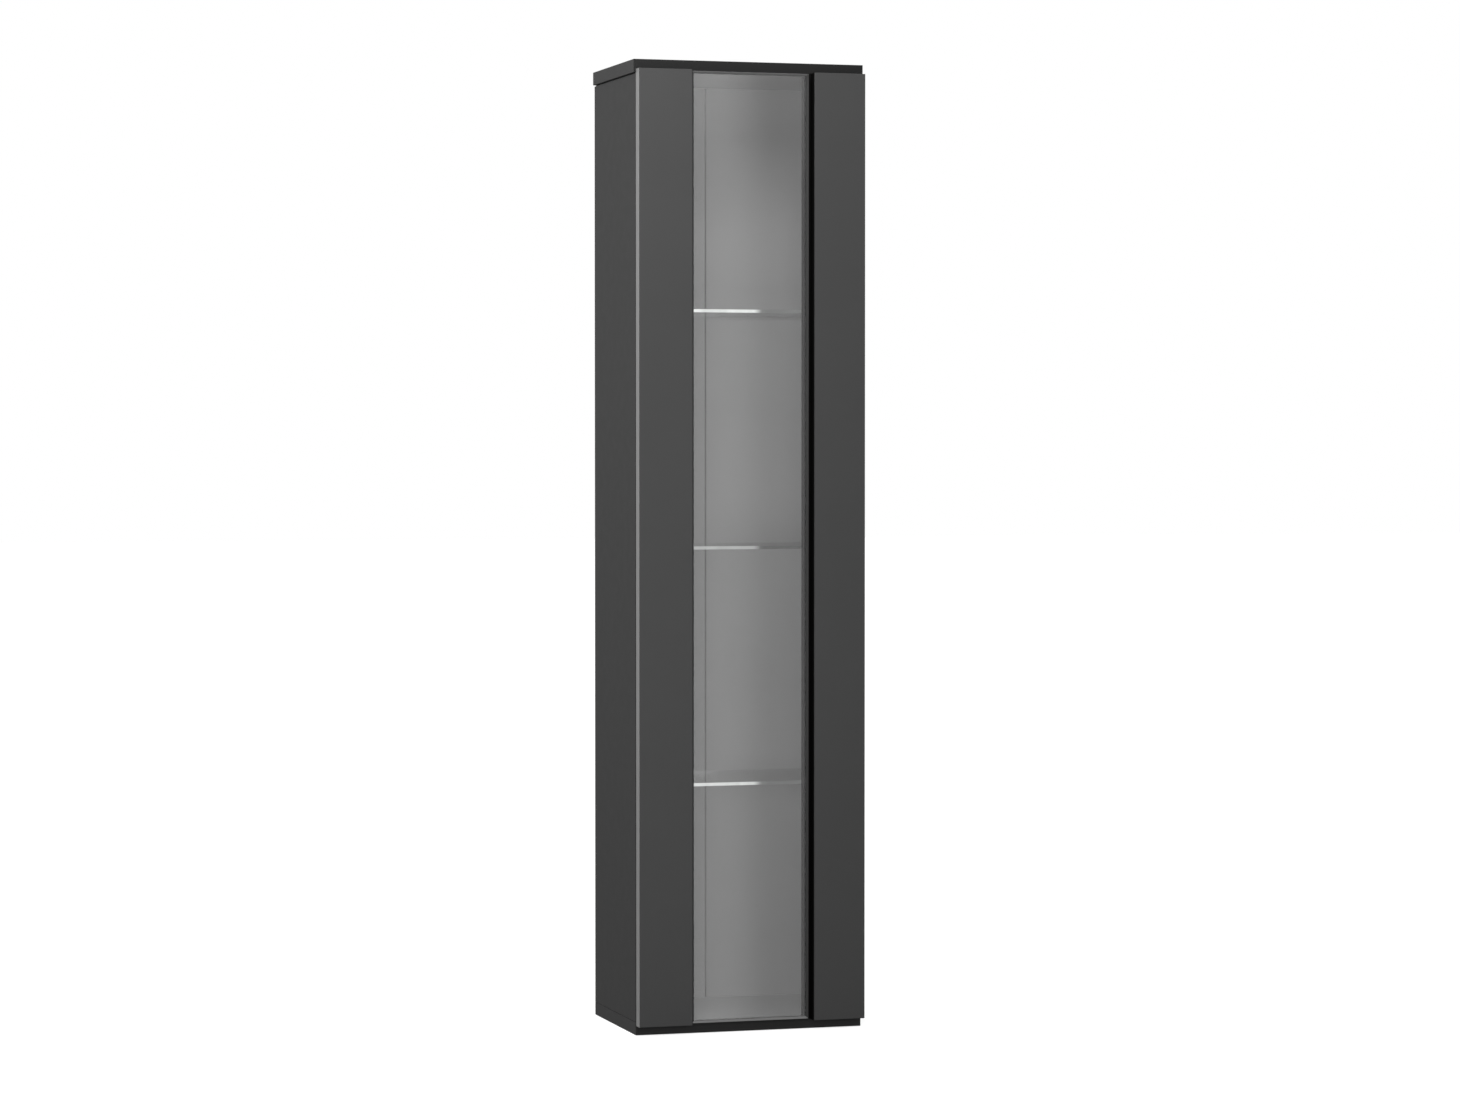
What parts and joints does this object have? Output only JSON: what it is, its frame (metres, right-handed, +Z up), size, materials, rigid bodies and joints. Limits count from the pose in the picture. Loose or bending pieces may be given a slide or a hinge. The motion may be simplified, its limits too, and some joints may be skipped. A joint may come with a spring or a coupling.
{
  "type": "display cabinet",
  "caption": "Tall slim display cabinet with one framed glass door between two solid front strips, glass shelves and a handle-less vertical grip gap.",
  "frame": {"origin": "middle of the underside of the base, at floor level", "axes": "+Z up, front with the door towards -Y, door hinged at the -X side"},
  "size_m": [0.456, 0.325, 1.85],
  "materials": {
    "carcass_board": "matt anthracite melamine",
    "gloss_front": "semi-gloss anthracite lacquered board",
    "back_board": "matt grey hardboard",
    "joint_plastic": "matt dark grey plastic",
    "frame_alloy": "satin dark grey powder coat",
    "grip_black": "matt black",
    "door_glass": "clear float glass",
    "shelf_glass": "clear float glass with polished edges",
    "nickel_steel": "nickel-plated steel"
  },
  "bodies": {
    "carcass": {"back_joint_profile": "joint_plastic", "back_panel_left": "back_board", "back_panel_right": "back_board", "base_panel": "carcass_board", "front_strip_right": "gloss_front", "glass_shelf_1": "shelf_glass", "glass_shelf_2": "shelf_glass", "glass_shelf_3": "shelf_glass", "grip_profile": "grip_black", "hinge_arm_1": "nickel_steel", "hinge_arm_2": "nickel_steel", "hinge_arm_3": "nickel_steel", "hinge_plate_1": "nickel_steel", "hinge_plate_2": "nickel_steel", "hinge_plate_3": "nickel_steel", "shelf_pin_1_left_front": "nickel_steel", "shelf_pin_1_left_rear": "nickel_steel", "shelf_pin_1_right_front": "nickel_steel", "shelf_pin_1_right_rear": "nickel_steel", "shelf_pin_2_left_front": "nickel_steel", "shelf_pin_2_left_rear": "nickel_steel", "shelf_pin_2_right_front": "nickel_steel", "shelf_pin_2_right_rear": "nickel_steel", "shelf_pin_3_left_front": "nickel_steel", "shelf_pin_3_left_rear": "nickel_steel", "shelf_pin_3_right_front": "nickel_steel", "shelf_pin_3_right_rear": "nickel_steel", "side_panel_left": "carcass_board", "side_panel_right": "carcass_board", "top_panel": "carcass_board"},
    "door": {"door_frame_bottom": "frame_alloy", "door_frame_left": "frame_alloy", "door_frame_right": "frame_alloy", "door_frame_top": "frame_alloy", "door_glass": "door_glass", "door_strip_left": "gloss_front", "hinge_cup_1": "nickel_steel", "hinge_cup_2": "nickel_steel", "hinge_cup_3": "nickel_steel"},
    "arm_link_1": {"hinge_arm_link_1": "nickel_steel"},
    "cup_link_1": {"hinge_cup_link_1": "nickel_steel"},
    "arm_link_2": {"hinge_arm_link_2": "nickel_steel"},
    "cup_link_2": {"hinge_cup_link_2": "nickel_steel"},
    "arm_link_3": {"hinge_arm_link_3": "nickel_steel"},
    "cup_link_3": {"hinge_cup_link_3": "nickel_steel"}
  },
  "joints": [
    {"name": "door_hinge", "type": "hinge", "parent": "carcass", "child": "door", "pos_m": [-0.217, -0.1585, 0.9245], "axis": [0, 0, -1], "range_deg": [0, 100]},
    {"name": "arm_link_pivot_1", "type": "hinge", "parent": "carcass", "child": "arm_link_1", "pos_m": [-0.197, -0.1405, 0.12], "axis": [0, 0, -1], "range_deg": [0, 110]},
    {"name": "cup_link_pivot_1", "type": "hinge", "parent": "door", "child": "cup_link_1", "pos_m": [-0.194, -0.1435, 0.1224], "axis": [0, 0, 1], "range_deg": [0, 100]},
    {"name": "arm_link_pivot_2", "type": "hinge", "parent": "carcass", "child": "arm_link_2", "pos_m": [-0.197, -0.1405, 0.985], "axis": [0, 0, -1], "range_deg": [0, 110]},
    {"name": "cup_link_pivot_2", "type": "hinge", "parent": "door", "child": "cup_link_2", "pos_m": [-0.194, -0.1435, 0.9874], "axis": [0, 0, 1], "range_deg": [0, 100]},
    {"name": "arm_link_pivot_3", "type": "hinge", "parent": "carcass", "child": "arm_link_3", "pos_m": [-0.197, -0.1405, 1.73], "axis": [0, 0, -1], "range_deg": [0, 110]},
    {"name": "cup_link_pivot_3", "type": "hinge", "parent": "door", "child": "cup_link_3", "pos_m": [-0.194, -0.1435, 1.7324], "axis": [0, 0, 1], "range_deg": [0, 100]}
  ],
  "couplings": [
    {"joint": "arm_link_pivot_1", "follows": "door_hinge", "ratio": 1.079},
    {"joint": "cup_link_pivot_1", "follows": "door_hinge", "ratio": 0.989},
    {"joint": "arm_link_pivot_2", "follows": "door_hinge", "ratio": 1.079},
    {"joint": "cup_link_pivot_2", "follows": "door_hinge", "ratio": 0.989},
    {"joint": "arm_link_pivot_3", "follows": "door_hinge", "ratio": 1.079},
    {"joint": "cup_link_pivot_3", "follows": "door_hinge", "ratio": 0.989}
  ]
}
